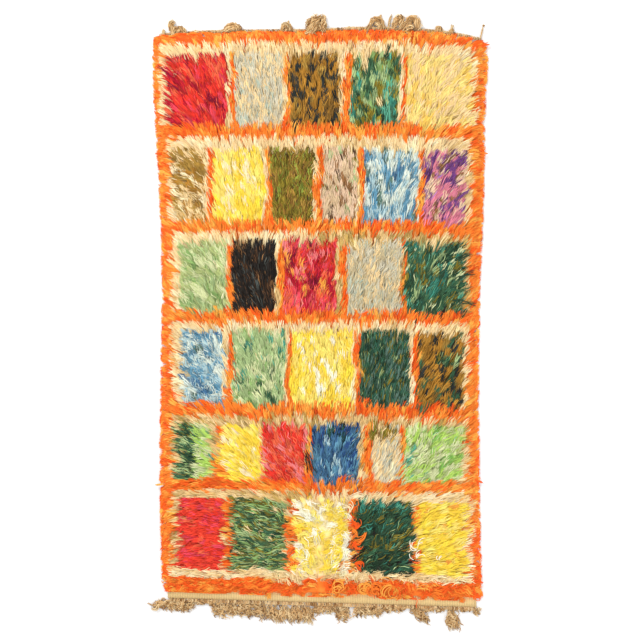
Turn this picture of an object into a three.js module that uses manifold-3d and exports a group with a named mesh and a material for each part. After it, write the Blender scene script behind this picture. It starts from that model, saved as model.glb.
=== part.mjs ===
// A hand-knotted rya rug lying flat on the floor: ground weave, long shaggy pile, two knotted fringes.
// Millimetres. X runs across the rug, Y along it towards the upper fringe, Z up from the floor.
import * as THREE from "three";
import { mergeVertices } from "three/addons/utils/BufferGeometryUtils.js";
import Module from "manifold-3d";

const wasm = await Module();
wasm.setup();

// Clearances and thicknesses
const GAP = 0.3;
const WEAVE_THICKNESS = 4;
const STRIP_THICKNESS = 5;
const STRIP_WIDTH = 8;

// Plan of the rug
const UPPER_EDGE = 870;
const UPPER_DROP = { left: 14, right: 34 };
const UPPER_BOW_POWER = 4;
const LOWER_EDGE = -842;
const LOWER_SLOPE = -0.03;
const BARE_END = 20;
const HALF_WIDTH = 490;
const SIDE_EDGES = [
  { y: -880, left: -472, right: 480 },
  { y: -700, left: -476, right: 474 },
  { y: -460, left: -476, right: 470 },
  { y: -200, left: -471, right: 468 },
  { y: 90, left: -466, right: 472 },
  { y: 260, left: -470, right: 480 },
  { y: 450, left: -478, right: 486 },
  { y: 640, left: -490, right: 488 },
  { y: 800, left: -495, right: 497 },
  { y: 880, left: -490, right: 492 },
];
const PLAN_STEPS = 26;

// Pile
const PILE_HEIGHT = 32;
const RIM_HEIGHT = 12;
const RIM_ROUNDING = 55;
const LUMP_RISE = 9;
const LUMPS_ACROSS = PLAN_STEPS;
const LUMPS_ALONG = 45;
const LUMP_SHIFT = 0.28;

// Locks at the rim of the pile
const LOCK_SIDES = 4;
const LOCK_SPANS = 2;
const LOCK_ROOT_DEPTH = 16;
const LOCK_HALF_WIDTH = 24;
const LOCK_HALF_HEIGHT = 8;
const LOCK_ROOT_Z = 13;
const LOCK_FULLNESS = 0.5;
const RIMS = [
  { name: "left", locks: 40, reach: 15, vary: 6, sway: 16, tipZ: 3 },
  { name: "right", locks: 40, reach: 15, vary: 6, sway: 16, tipZ: 3 },
  { name: "upper", locks: 26, reach: 13, vary: 3, sway: 5, tipZ: 11 },
  { name: "lower", locks: 26, reach: 8, vary: 5, sway: 6, tipZ: 11 },
];

// Strands of the fringes
const STRAND_WIDTH = 5.5;
const STRAND_HEIGHT = 4.5;
const STRAND_TIP = 0.45;
const STRAND_ROOT_DEPTH = 4;
const STRAND_SPANS = 2;
const STRAND_SHORTEST = 0.72;
const STRAND_SWAY = 3;

// Knots of the upper fringe, as rings of a low dome
const KNOT_SIDES = 7;
const KNOT_RISE = 0.75;
const KNOT_RINGS = [
  { radius: 0, rise: 0 },
  { radius: 1, rise: 0 },
  { radius: 0.94, rise: 0.55 },
  { radius: 0.5, rise: 0.92 },
  { radius: 0, rise: 1 },
];
const CORE_WIDTH = 1.3;
const END_FAN = 0.5;

// Upper bunches: place along the edge, distance of the knot, its half sizes, loose ends and their reach
const UPPER_BUNCHES = [
  { at: -456, out: 35, wide: 9, deep: 9, ends: 3, reach: 48 },
  { at: -427, out: 19, wide: 10, deep: 9, ends: 2, reach: 33 },
  { at: -268, out: 22, wide: 27, deep: 13, ends: 0, reach: 0 },
  { at: -100, out: 22, wide: 20, deep: 13, ends: 1, reach: 42 },
  { at: -13, out: 32, wide: 27, deep: 24, ends: 2, reach: 57 },
  { at: 91, out: 17, wide: 12, deep: 7, ends: 1, reach: 27 },
  { at: 171, out: 31, wide: 23, deep: 16, ends: 1, reach: 60 },
  { at: 211, out: 20, wide: 5, deep: 6, ends: 1, reach: 60 },
  { at: 238, out: 34, wide: 14, deep: 20, ends: 0, reach: 0 },
  { at: 281, out: 31, wide: 21, deep: 21, ends: 0, reach: 0 },
  { at: 363, out: 24, wide: 12, deep: 14, ends: 0, reach: 0 },
  { at: 400, out: 20, wide: 12, deep: 10, ends: 1, reach: 35 },
];
const CORNER_THREAD = { at: 484, lean: 12, reach: 57 };

// Lower bunches: stretch of edge, number of strands, their reach and sideways splay
const LOWER_BUNCHES = [
  { from: -468, to: -440, strands: 5, reach: 26, splay: -42 },
  { from: -430, to: -384, strands: 7, reach: 34, splay: 6 },
  { from: -374, to: -330, strands: 6, reach: 12, splay: 0 },
  { from: -318, to: -178, strands: 18, reach: 50, splay: 0 },
  { from: -168, to: -26, strands: 18, reach: 48, splay: 4 },
  { from: -16, to: 6, strands: 4, reach: 35, splay: 6 },
  { from: 16, to: 54, strands: 5, reach: 18, splay: 0 },
  { from: 64, to: 100, strands: 5, reach: 54, splay: 4 },
  { from: 110, to: 184, strands: 9, reach: 34, splay: 0 },
  { from: 194, to: 258, strands: 8, reach: 18, splay: 0 },
  { from: 268, to: 292, strands: 4, reach: 40, splay: 46 },
  { from: 318, to: 374, strands: 7, reach: 13, splay: 0 },
  { from: 386, to: 420, strands: 5, reach: 58, splay: 24 },
  { from: 436, to: 458, strands: 4, reach: 9, splay: 0 },
  { from: 466, to: 474, strands: 2, reach: 20, splay: 14 },
];

const { lerp, clamp } = THREE.MathUtils;

// A repeatable scatter between -1 and 1 for a pair of whole numbers
function scatter(i, j) {
  const wave = Math.sin(i * 12.9898 + j * 78.233) * 43758.5453;
  return 2 * (wave - Math.floor(wave)) - 1;
}

// Plan lines of the rug
function sideEdge(y, side) {
  let row = 0;
  while (row < SIDE_EDGES.length - 2 && y > SIDE_EDGES[row + 1].y) {
    row += 1;
  }
  const below = SIDE_EDGES[row];
  const above = SIDE_EDGES[row + 1];
  const share = clamp((y - below.y) / (above.y - below.y), 0, 1);
  return lerp(below[side], above[side], share);
}

function upperEdge(x) {
  const drop = x < 0 ? UPPER_DROP.left : UPPER_DROP.right;
  return UPPER_EDGE - drop * (x / HALF_WIDTH) ** UPPER_BOW_POWER;
}

function lowerEdge(x) {
  return LOWER_EDGE + LOWER_SLOPE * x;
}

function planPoint(across, along) {
  const y = lerp(LOWER_EDGE, UPPER_EDGE, along);
  const x = lerp(sideEdge(y, "left"), sideEdge(y, "right"), across);
  return new THREE.Vector2(x, lerp(lowerEdge(x), upperEdge(x), along));
}

// Solids from closed meshes
function toSolid(geometry) {
  const bare = new THREE.BufferGeometry();
  bare.setAttribute("position", geometry.getAttribute("position").clone());
  if (geometry.index) {
    bare.setIndex(geometry.index.clone());
  }
  const merged = mergeVertices(bare, 1e-4);
  const mesh = new wasm.Mesh({
    numProp: 3,
    vertProperties: new Float32Array(merged.getAttribute("position").array),
    triVerts: new Uint32Array(merged.index.array),
  });
  return new wasm.Manifold(mesh);
}

function toMesh(solid, name, color) {
  const { vertProperties, triVerts } = solid.getMesh();
  const geometry = new THREE.BufferGeometry();
  geometry.setAttribute("position", new THREE.BufferAttribute(new Float32Array(vertProperties), 3));
  geometry.setIndex(new THREE.BufferAttribute(new Uint32Array(triVerts), 1));
  const material = new THREE.MeshStandardMaterial({ color, roughness: 0.9, metalness: 0 });
  const mesh = new THREE.Mesh(geometry, material);
  mesh.name = name;
  return mesh;
}

function joinAll(solids) {
  return solids.reduce((whole, solid) => whole.add(solid));
}

function flatPiece(outline, thickness) {
  const shape = new THREE.Shape(outline);
  return toSolid(new THREE.ExtrudeGeometry(shape, { depth: thickness, bevelEnabled: false }));
}

// Ground weave: one flat cloth that runs on below the pile as a bare end
function groundWeave() {
  const outline = [];
  for (let i = 0; i <= PLAN_STEPS; i += 1) {
    const { x, y } = planPoint(i / PLAN_STEPS, 0);
    outline.push(new THREE.Vector2(x, y - BARE_END));
  }
  for (let i = 1; i < PLAN_STEPS; i += 1) {
    outline.push(planPoint(1, i / PLAN_STEPS));
  }
  for (let i = PLAN_STEPS; i >= 0; i -= 1) {
    outline.push(planPoint(i / PLAN_STEPS, 1));
  }
  for (let i = PLAN_STEPS - 1; i > 0; i -= 1) {
    outline.push(planPoint(0, i / PLAN_STEPS));
  }
  return flatPiece(outline, WEAVE_THICKNESS);
}

// Pile: lumps over a flat underside, falling away in a rounded rim
function pileTop(i, j) {
  const inside = i > 0 && j > 0 && i < LUMPS_ACROSS && j < LUMPS_ALONG;
  const shift = inside ? LUMP_SHIFT : 0;
  const across = (i + shift * scatter(i, j)) / LUMPS_ACROSS;
  const along = (j + shift * scatter(j + LUMPS_ALONG, i)) / LUMPS_ALONG;
  const { x, y } = planPoint(across, along);
  const toSide = Math.min(x - sideEdge(y, "left"), sideEdge(y, "right") - x);
  const toEnd = Math.min(y - lowerEdge(x), upperEdge(x) - y);
  const inset = clamp(Math.min(toSide, toEnd) / RIM_ROUNDING, 0, 1);
  const rise = Math.sqrt(1 - (1 - inset) ** 2);
  const height = lerp(RIM_HEIGHT, PILE_HEIGHT, rise) + LUMP_RISE * rise * scatter(i + j, i - 2 * j);
  return new THREE.Vector3(x, y, WEAVE_THICKNESS + GAP + height);
}

function pileSlab() {
  const columns = LUMPS_ACROSS + 1;
  const points = [];
  for (let j = 0; j <= LUMPS_ALONG; j += 1) {
    for (let i = 0; i < columns; i += 1) {
      points.push(pileTop(i, j));
    }
  }
  const faces = [];
  for (let j = 0; j < LUMPS_ALONG; j += 1) {
    for (let i = 0; i < LUMPS_ACROSS; i += 1) {
      const a = j * columns + i;
      faces.push(a, a + 1, a + columns + 1);
      faces.push(a, a + columns + 1, a + columns);
    }
  }
  const rim = [];
  for (let i = 0; i < LUMPS_ACROSS; i += 1) {
    rim.push(i);
  }
  for (let j = 0; j < LUMPS_ALONG; j += 1) {
    rim.push(j * columns + LUMPS_ACROSS);
  }
  for (let i = LUMPS_ACROSS; i > 0; i -= 1) {
    rim.push(LUMPS_ALONG * columns + i);
  }
  for (let j = LUMPS_ALONG; j > 0; j -= 1) {
    rim.push(j * columns);
  }
  const foot = points.length;
  for (const corner of rim) {
    points.push(points[corner].clone().setZ(WEAVE_THICKNESS + GAP));
  }
  rim.forEach((corner, k) => {
    const next = (k + 1) % rim.length;
    faces.push(corner, foot + k, foot + next);
    faces.push(corner, foot + next, rim[next]);
  });
  const outline = rim.map((corner) => new THREE.Vector2(points[corner].x, points[corner].y));
  for (const [a, b, c] of THREE.ShapeUtils.triangulateShape(outline, [])) {
    faces.push(foot + a, foot + c, foot + b);
  }
  const geometry = new THREE.BufferGeometry().setFromPoints(points);
  geometry.setIndex(faces);
  return toSolid(geometry);
}

// Where a lock leaves the rim: its root, the way out, and the way its tip is swept
function rimPlace(name, share, turn) {
  if (name === "left" || name === "right") {
    const across = name === "left" ? 0 : 1;
    const out = new THREE.Vector2(2 * across - 1, 0);
    return { root: planPoint(across, share), out, sweep: new THREE.Vector2(0, 1) };
  }
  const along = name === "lower" ? 0 : 1;
  const out = new THREE.Vector2(0, 2 * along - 1);
  return { root: planPoint(share, along), out, sweep: new THREE.Vector2(Math.sign(turn), 0) };
}

// One lock: a four-sided tapered tuft that leaves the rim and droops towards its tip
function rimLock(rim, k, seed) {
  const { root, out, sweep } = rimPlace(rim.name, (k + 0.5) / rim.locks, scatter(k + seed, 3));
  const beside = new THREE.Vector2(out.y, -out.x);
  const reach = rim.reach + rim.vary * scatter(k, seed);
  const sway = rim.sway * (1 + 0.5 * scatter(seed, k));
  const cone = new THREE.ConeGeometry(1, 1, LOCK_SIDES, LOCK_SPANS);
  const position = cone.getAttribute("position");
  for (let n = 0; n < position.count; n += 1) {
    const t = position.getY(n) + 0.5;
    const fullness = 1 + LOCK_FULLNESS * Math.sin(Math.PI * t);
    const plan = root.clone();
    plan.addScaledVector(out, lerp(-LOCK_ROOT_DEPTH, reach, t));
    plan.addScaledVector(beside, LOCK_HALF_WIDTH * fullness * position.getX(n));
    plan.addScaledVector(sweep, sway * t * t);
    const z = lerp(LOCK_ROOT_Z, rim.tipZ, t * t) + LOCK_HALF_HEIGHT * position.getZ(n);
    position.setXYZ(n, plan.x, plan.y, z);
  }
  return toSolid(cone);
}

function pile() {
  const locks = RIMS.flatMap((rim, side) =>
    Array.from({ length: rim.locks }, (_, k) => rimLock(rim, k, side + 1)));
  return joinAll([pileSlab(), ...locks]);
}

// One strand: three-sided, lying on the floor on its broad side
function strand(root, tip, sway, width) {
  const middle = root.clone().lerp(tip, 0.5);
  middle.x += sway;
  const path = new THREE.QuadraticBezierCurve(root, middle, tip);
  const points = [];
  for (let k = 0; k <= STRAND_SPANS; k += 1) {
    const t = k / STRAND_SPANS;
    const centre = path.getPoint(t);
    const heading = path.getTangent(t);
    const half = (width / 2) * lerp(1, STRAND_TIP, t);
    const height = STRAND_HEIGHT * lerp(1, STRAND_TIP, t);
    points.push(new THREE.Vector3(centre.x - half * heading.y, centre.y + half * heading.x, 0));
    points.push(new THREE.Vector3(centre.x + half * heading.y, centre.y - half * heading.x, 0));
    points.push(new THREE.Vector3(centre.x, centre.y, height));
  }
  const faces = [0, 1, 2];
  for (let k = 0; k < STRAND_SPANS; k += 1) {
    for (let side = 0; side < 3; side += 1) {
      const a = 3 * k + side;
      const b = 3 * k + ((side + 1) % 3);
      faces.push(a, b + 3, b);
      faces.push(a, a + 3, b + 3);
    }
  }
  const end = 3 * STRAND_SPANS;
  faces.push(end, end + 2, end + 1);
  const geometry = new THREE.BufferGeometry().setFromPoints(points);
  geometry.setIndex(faces);
  return toSolid(geometry);
}

// The narrow edge strip of a fringe, parted from the end of the weave
function edgeStrip(line, outward) {
  const inner = [];
  const outer = [];
  for (let i = 0; i <= PLAN_STEPS; i += 1) {
    const x = lerp(sideEdge(line(0), "left"), sideEdge(line(0), "right"), i / PLAN_STEPS);
    inner.push(new THREE.Vector2(x, line(x) + outward * GAP));
    outer.unshift(new THREE.Vector2(x, line(x) + outward * (GAP + STRIP_WIDTH)));
  }
  const outline = outward > 0 ? [...inner, ...outer] : [...outer, ...inner];
  return flatPiece(outline, STRIP_THICKNESS);
}

// One knot: a low uneven dome of matted warp ends
function knot(centre, wide, deep) {
  const profile = KNOT_RINGS.map(({ radius, rise }) => new THREE.Vector2(radius, rise));
  const dome = new THREE.LatheGeometry(profile, KNOT_SIDES);
  dome.rotateX(Math.PI / 2);
  dome.scale(wide, deep, deep * KNOT_RISE);
  dome.translate(centre.x, centre.y, 0);
  return toSolid(dome);
}

function upperBunch({ at, out, wide, deep, ends, reach }) {
  const edge = upperEdge(at) + GAP + STRIP_WIDTH;
  const root = new THREE.Vector2(at, edge - STRAND_ROOT_DEPTH);
  const centre = new THREE.Vector2(at, edge + out);
  const solids = [strand(root, centre, 0, wide * CORE_WIDTH), knot(centre, wide, deep)];
  for (let k = 0; k < ends; k += 1) {
    const aside = wide * ((2 * k + 1) / ends - 1);
    const tip = new THREE.Vector2(at + aside, edge + reach * lerp(1, STRAND_SHORTEST, k / ends));
    const start = new THREE.Vector2(at + aside * END_FAN, centre.y);
    solids.push(strand(start, tip, STRAND_SWAY * scatter(k, at), STRAND_WIDTH));
  }
  return solids;
}

function fringeUpper() {
  const { at, lean, reach } = CORNER_THREAD;
  const edge = upperEdge(at) + GAP + STRIP_WIDTH;
  const root = new THREE.Vector2(at, edge - STRAND_ROOT_DEPTH);
  const thread = strand(root, new THREE.Vector2(at + lean, edge + reach), 0, STRAND_WIDTH);
  return joinAll([edgeStrip(upperEdge, 1), thread, ...UPPER_BUNCHES.flatMap(upperBunch)]);
}

function lowerBunch({ from, to, strands, reach, splay }, bunch) {
  return Array.from({ length: strands }, (_, k) => {
    const x = lerp(from, to, k / (strands - 1));
    const edge = lowerEdge(x) - BARE_END - GAP - STRIP_WIDTH;
    const length = reach * lerp(1, STRAND_SHORTEST, 0.5 + 0.5 * scatter(k, bunch));
    const root = new THREE.Vector2(x, edge + STRAND_ROOT_DEPTH);
    const tip = new THREE.Vector2(x + splay * (length / reach), edge - length);
    return strand(root, tip, STRAND_SWAY * Math.sin(bunch), STRAND_WIDTH);
  });
}

function fringeLower() {
  const line = (x) => lowerEdge(x) - BARE_END;
  return joinAll([edgeStrip(line, -1), ...LOWER_BUNCHES.flatMap(lowerBunch)]);
}

const rug = new THREE.Group();
rug.add(toMesh(groundWeave(), "ground_weave", 0xcdb687));
rug.add(toMesh(pile(), "pile", 0xd9803f));
rug.add(toMesh(fringeUpper(), "fringe_upper", 0xb8986a));
rug.add(toMesh(fringeLower(), "fringe_lower", 0xb8986a));

export default rug;
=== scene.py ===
"""A hand-knotted rya rug on the floor: ground weave, long pile in colour blocks, knotted warp fringes."""

import bpy
import numpy as np
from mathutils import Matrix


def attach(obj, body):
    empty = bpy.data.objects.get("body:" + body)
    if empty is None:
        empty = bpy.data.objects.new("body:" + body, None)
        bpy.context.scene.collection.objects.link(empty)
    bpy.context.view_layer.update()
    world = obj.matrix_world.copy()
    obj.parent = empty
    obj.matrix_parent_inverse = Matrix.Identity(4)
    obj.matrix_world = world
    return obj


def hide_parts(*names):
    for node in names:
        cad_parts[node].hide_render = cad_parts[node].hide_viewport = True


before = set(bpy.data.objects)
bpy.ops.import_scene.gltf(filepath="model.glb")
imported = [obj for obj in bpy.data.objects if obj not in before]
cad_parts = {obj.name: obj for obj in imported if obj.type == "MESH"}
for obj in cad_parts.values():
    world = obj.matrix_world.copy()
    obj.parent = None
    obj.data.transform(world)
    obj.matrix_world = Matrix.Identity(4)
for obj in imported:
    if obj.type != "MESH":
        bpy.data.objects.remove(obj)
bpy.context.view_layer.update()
rng = np.random.default_rng(11)

# Plan of the rug in millimetres, close to that of the solids
MM = 0.001
WEAVE_THICKNESS = 4.0
UPPER_EDGE = 870.0
UPPER_DROP_LEFT = 14.0
UPPER_DROP_RIGHT = 34.0
UPPER_BOW_POWER = 4
HALF_WIDTH = 490.0
LOWER_EDGE = -842.0
LOWER_SLOPE = -0.03
BARE_END = 23.0
SIDE_EDGES = [
    # y, left, right
    (-880, -464, 480),
    (-700, -470, 474),
    (-460, -474, 471),
    (-200, -471, 468),
    (90, -466, 472),
    (260, -470, 480),
    (450, -478, 486),
    (640, -490, 488),
    (800, -495, 497),
    (880, -490, 492),
]

# Ground weave: its grid, how much the knots show below, its map, and the wave texture's period at scale 1
WEAVE_GRID = (44, 80)
KNOTS_SHOW = 0.6
WEAVE_MAP = (0.48, 0.9)
UNDER_MAP = (0.5, 0.0)
EDGE_MAP = [(0.1, 0.95), (0.4, 0.95), (0.4, 0.98)]
WAVE_PERIOD = 0.314

# Pile: a dense felted bed of yarn with combed strands rooted in it
BASE_LEVEL = 4.4
BED_HEIGHT = 15.0
BED_LUMPS = 5.0
BED_STEP = 11.0
BED_INSET = 9.0
BED_BLEND = 0.7
BED_MAP = (2 * HALF_WIDTH + 80, 2000.0)
HIDDEN_MAP_SHARE = 0.001
RIM_ROUNDING = 50.0
RIM_SHARE = 0.36

# Locks: the field they are set out in before the outline trims it, and how they vary there
FIELD_X = (-505.0, 506.0)
FIELD_Y = (-856.0, 866.0)
LOCK_PITCH = 12.5
ROW_PITCH = 15.0
LOCK_JITTER = 2.6
ROW_JITTER = 2.5
ROOT_INSET = 4.0
LOWER_INSET = 3.0
LENGTH_VARIES = 0.06
LENGTH_LIMITS = (0.8, 1.2)
NEAR_TIP = 0.8
LOCK_SWAY = 5.0
LOCK_CURL = 14.0
CRIMP_VARIES = (0.5, 1.3)

# Strands of a lock: angles in degrees, and how far they may hang over the rim
STRANDS_IN_LOCK = 13
STRAND_LENGTH = 58.0
LOCK_SPREAD = 6.8
STRAND_RADIUS = 1.15
STRAND_STEPS = np.array([0.0, 0.42, 0.66, 0.87, 1.0])
STRAND_TAPER = np.array([0.9, 1.0, 1.0, 0.9, 0.0])
STRAND_LENGTHS = (0.88, 1.05)
STRAND_CRIMPS = (0.7, 1.3)
STRAND_WIDTHS = (0.75, 1.25)
STRAND_SPLAY = 3.5
STRAND_ROLL = 24.0
STRAY_SPLAY = 10.0
STRAY_SHARE = 0.03
ROOT_DEPTH = 5.0
ROOT_RISE = 22.0
ROOT_VARIES = 2.0
TIP_RISE = 7.0
TIP_VARIES = 1.6
STRAY_RISE = 6.0
CURL_VARIES = 9.0
SWELL = 3.0
TIP_DRAWN_IN = 0.3
PULSES = (7, 11)
OVERHANG = (12, 23)
UPPER_REACH = [(-20, 0.62), (100, 1.12)]
UPPER_REACH_WAVE = 0.22
LOWER_REACH = [(-460, 0.06), (-330, 0.14), (-60, 0.22), (100, 0.22), (300, 0.16)]
DROOP_OVER = 30.0
BASE_DROP_OVER = 12.0

# Dye: how it runs from lock to lock, how far it strays over the chart's borders, and how strands differ; then
# painted shade along each strand: its root darker and leaning to the mix's mean colour, its tip a little
# lighter
DYE_RUN = 0.5
DYE_CHANCE = 0.5
GOLDEN = 0.618
ROW_SHIFT = 0.414
RAGGED = [(-400, 6.5), (100, 3.0)]
# Share of a strand's own yarn colour from root to tip; towards the root the rest is the mix's mean colour,
# painted coloured shade so that gaps between strands look the block's colour rather than grey
OWN_COLOUR = [(0, 0.2), (0.66, 1)]
# Painted shade at each strand's root and painted light at its tip: colour factors from root to tip
PAINTED_ROOT_SHADE = [(0, 0.9), (0.6, 0.98), (1, 1.03)]
TONE_SPREAD = [(0.03, 0.22), (0.5, 0.05)]
TONE_LIMITS = (0.4, 1.9)
LIGHT_LIMITS = (0.002, 0.95)

# Nap: it fans out from a parting near the lower end and leans to the sides, in degrees by height
PARTING = (48.0, -670.0)
PARTING_SIZE = 105.0
PARTING_SWAY = 60.0
PARTING_CURL = 80.0
PARTING_CRIMP = 0.5
NAP_SWAY = 13.0
NAP_RIPPLE = 9.0
SIDE_LEAN = [
    # y, lean at the left and right side, and the powers that say how late across the rug it sets in
    (-842, 95, 95, 0.12, 0.12),
    (-770, 92, 92, 0.12, 0.25),
    (-650, 92, 86, 0.16, 0.5),
    (-520, 92, 76, 0.4, 0.7),
    (-400, 98, 62, 1.0, 1.1),
    (-290, 88, 50, 1.6, 1.6),
    (-130, 72, 45, 2.2, 2.2),
    (130, 64, 70, 2.2, 2.2),
    (410, 72, 66, 2.2, 2.2),
    (780, 62, 64, 2.2, 2.2),
    (870, 42, 42, 2.2, 2.2),
]
RIM_LEAN = 26.0
RIM_LEAN_FROM = 0.84
RIM_LEAN_OVER = 0.1
RIM_LEAN_TOP = 840.0
RIM_LEAN_FADE = 60.0
MOST_LEAN = 100.0

# Yarn colours by name
YARNS = {
    "orange": "fb842b", "flame": "f46019", "amber": "fdae48",
    "ecru": "f3d59d", "cream": "fbe8bc", "tan": "e1be7f", "sand": "c2a058",
    "crimson": "b4132c", "scarlet": "df3527", "coral": "f26a46", "rose": "df4555", "pink": "f28684",
    "silver": "d4ccb2", "mist": "b9c3b0", "ash": "cdbd95",
    "ochre": "b07c2b", "umber": "8b6529", "charcoal": "2b302d",
    "teal": "3e8c77", "olive": "857524", "sage": "a9bf84", "forest": "3a6143", "leaf": "8cae66",
    "fennel": "8f9f3e", "jade": "5fae90",
    "slate": "5d7a6c", "graphite": "454a46", "wine": "8a1130", "signal": "f2452f", "cerise": "ea4a5e",
    "straw": "f9dd85", "honey": "f5ce60", "gold": "fdda45", "lemon": "fee474", "white": "fdf6de",
    "khaki": "aa8439", "beige": "dcc098", "blush": "e9c9a8", "brown": "9a6d42",
    "blue": "6397b0", "paleblue": "b5d0d3", "ice": "dfe6d8", "steel": "446f93", "navy": "27487c",
    "plum": "764383", "mauve": "a46fae", "orchid": "da8093",
    "mint": "b6c27e", "palegreen": "d8dda8", "lime": "b6d866", "grass": "86bd58",
    "black": "231e1a", "bistre": "573b25", "spruce": "2f5c47", "bottle": "27432e",
    "flax": "e3c594", "hemp": "d2ab76", "twine": "b88d5a", "jute": "8d653a", "linen": "f4d293",
}

# What is knotted into each field: yarn names and shares
MIXES = {
    "orange": {"orange": 0.48, "flame": 0.3, "amber": 0.22},
    "ember": {"orange": 0.38, "flame": 0.48, "amber": 0.14},
    "ecru": {"ecru": 0.63, "cream": 0.25, "tan": 0.12},
    "tan": {"tan": 0.48, "ecru": 0.32, "sand": 0.2},
    "drab": {"tan": 0.4, "sand": 0.45, "ecru": 0.15},
    "crimson": {"crimson": 0.3, "scarlet": 0.33, "coral": 0.19, "rose": 0.14, "wine": 0.04},
    "silver": {"silver": 0.42, "mist": 0.15, "ecru": 0.3, "ash": 0.13},
    "umber": {"ochre": 0.46, "umber": 0.08, "khaki": 0.12, "charcoal": 0.34},
    "moss": {"teal": 0.1, "forest": 0.17, "bottle": 0.07, "olive": 0.25, "sage": 0.24, "leaf": 0.1,
             "jade": 0.04, "ecru": 0.03},
    "straw": {"straw": 0.5, "ecru": 0.34, "honey": 0.16},
    "khaki": {"khaki": 0.37, "ochre": 0.17, "umber": 0.02, "ecru": 0.24, "tan": 0.12, "cream": 0.08},
    "gold": {"gold": 0.5, "lemon": 0.36, "cream": 0.14},
    "olive": {"olive": 0.46, "umber": 0.14, "bistre": 0.1, "fennel": 0.12, "khaki": 0.18},
    "beige": {"blush": 0.5, "beige": 0.28, "brown": 0.08, "olive": 0.04, "sage": 0.04, "bistre": 0.06},
    "blue": {"blue": 0.29, "paleblue": 0.25, "ice": 0.35, "steel": 0.06, "slate": 0.05},
    "plum": {"plum": 0.32, "mauve": 0.06, "orchid": 0.29, "blush": 0.27, "brown": 0.06},
    "mint": {"mint": 0.44, "palegreen": 0.29, "leaf": 0.15, "sage": 0.08, "cream": 0.04},
    "coal": {"black": 0.73, "bistre": 0.14, "graphite": 0.07, "brown": 0.06},
    "rose": {"scarlet": 0.24, "rose": 0.25, "coral": 0.18, "crimson": 0.13, "pink": 0.09, "wine": 0.06,
             "amber": 0.05},
    "ash": {"ash": 0.32, "silver": 0.3, "ecru": 0.22, "mist": 0.16},
    "pine": {"forest": 0.29, "bottle": 0.16, "spruce": 0.13, "teal": 0.11, "sage": 0.09, "olive": 0.13,
             "jade": 0.05, "palegreen": 0.04},
    "sky": {"blue": 0.3, "paleblue": 0.33, "steel": 0.06, "ice": 0.28, "slate": 0.03},
    "sage": {"sage": 0.36, "leaf": 0.18, "teal": 0.06, "jade": 0.05, "palegreen": 0.26, "forest": 0.04,
             "ecru": 0.05},
    "sun": {"gold": 0.46, "lemon": 0.45, "white": 0.09},
    "sunlit": {"gold": 0.36, "lemon": 0.34, "white": 0.3},
    "spruce": {"spruce": 0.34, "bottle": 0.2, "forest": 0.15, "slate": 0.17, "olive": 0.1, "sage": 0.04},
    "bark": {"ochre": 0.46, "umber": 0.06, "forest": 0.14, "charcoal": 0.2, "khaki": 0.14},
    "fern": {"forest": 0.33, "bottle": 0.24, "olive": 0.15, "sage": 0.19, "leaf": 0.09},
    "spring": {"lime": 0.54, "palegreen": 0.36, "leaf": 0.06, "forest": 0.01, "jade": 0.03},
    "coral": {"scarlet": 0.4, "coral": 0.32, "pink": 0.24, "rose": 0.04},
    "navy": {"steel": 0.42, "navy": 0.2, "blue": 0.28, "paleblue": 0.1},
    "lime": {"lime": 0.36, "palegreen": 0.42, "grass": 0.06, "sage": 0.08, "mint": 0.05, "jade": 0.03},
    "scarlet": {"signal": 0.5, "scarlet": 0.3, "coral": 0.06, "cerise": 0.14},
    "meadow": {"forest": 0.33, "bottle": 0.08, "leaf": 0.17, "olive": 0.23, "sage": 0.16, "ecru": 0.03},
    "ivy": {"bottle": 0.43, "sage": 0.03, "forest": 0.22, "olive": 0.1, "spruce": 0.08, "teal": 0.04,
            "black": 0.1},
    "yolk": {"gold": 0.72, "lemon": 0.23, "amber": 0.05},
    "pearl": {"ecru": 0.36, "silver": 0.3, "cream": 0.2, "mist": 0.14},
    "ink": {"navy": 0.42, "steel": 0.36, "black": 0.12, "spruce": 0.1},
    "lagoon": {"teal": 0.45, "bottle": 0.35, "jade": 0.08, "forest": 0.12},
    "pink": {"pink": 0.45, "rose": 0.3, "coral": 0.25},
    "warp": {"flax": 0.36, "hemp": 0.36, "twine": 0.2, "jute": 0.08},
}

# Share of strands that differ from the rest of their lock
PLAIN_FLECKS = 0.18
FLECKED = {
    "coal": 0.6, "olive": 0.5, "spruce": 0.5, "silver": 0.4, "ash": 0.35, "pearl": 0.35, "umber": 0.03,
    "moss": 0.06, "khaki": 0.08, "blue": 0.1, "plum": 0.1, "bark": 0.03, "pine": 0.28, "meadow": 0.5,
    "ivy": 0.45, "fern": 0.4, "sun": 0.04, "sunlit": 0.06, "gold": 0.05, "yolk": 0.05,
}

# Mixes whose yarns are spread evenly across the rug, with no chance in it
EVEN_DYED = ("bark", "moss", "pine")

# The umber mix is barred: every other lock may be dark, and the others draw from the first share of its yarns
BARRED_MIX = "umber"
BAR_CHANCE = 0.66
BAR_DRAW = 0.9
UNBARRED_SHARE = 0.66

# How strongly the locks of a mix are crimped, in degrees
PLAIN_CRIMP = 13.0
CRIMPED = {
    "khaki": 30, "olive": 30, "mint": 28, "ash": 30, "rose": 24, "sky": 46, "sage": 20, "pine": 18,
    "fern": 20, "spring": 20, "coral": 26, "navy": 22, "lime": 30, "scarlet": 20, "meadow": 24, "sun": 20,
    "sunlit": 32, "ivy": 22, "yolk": 22, "silver": 20, "straw": 18,
}

# The lowest band: extra swirl, curled loops in its middle, and a last row of locks that hangs over the edge
SWIRL = 0.55
LOOPS_AT = 90.0
LOOPS_REACH = 210.0
LOOP_TURN = 1.8
HANG_ROWS = 17.0
HANG_FROM = -240.0
HANG_SPREAD = 78.0
HANG_SHARE = 0.66

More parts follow.
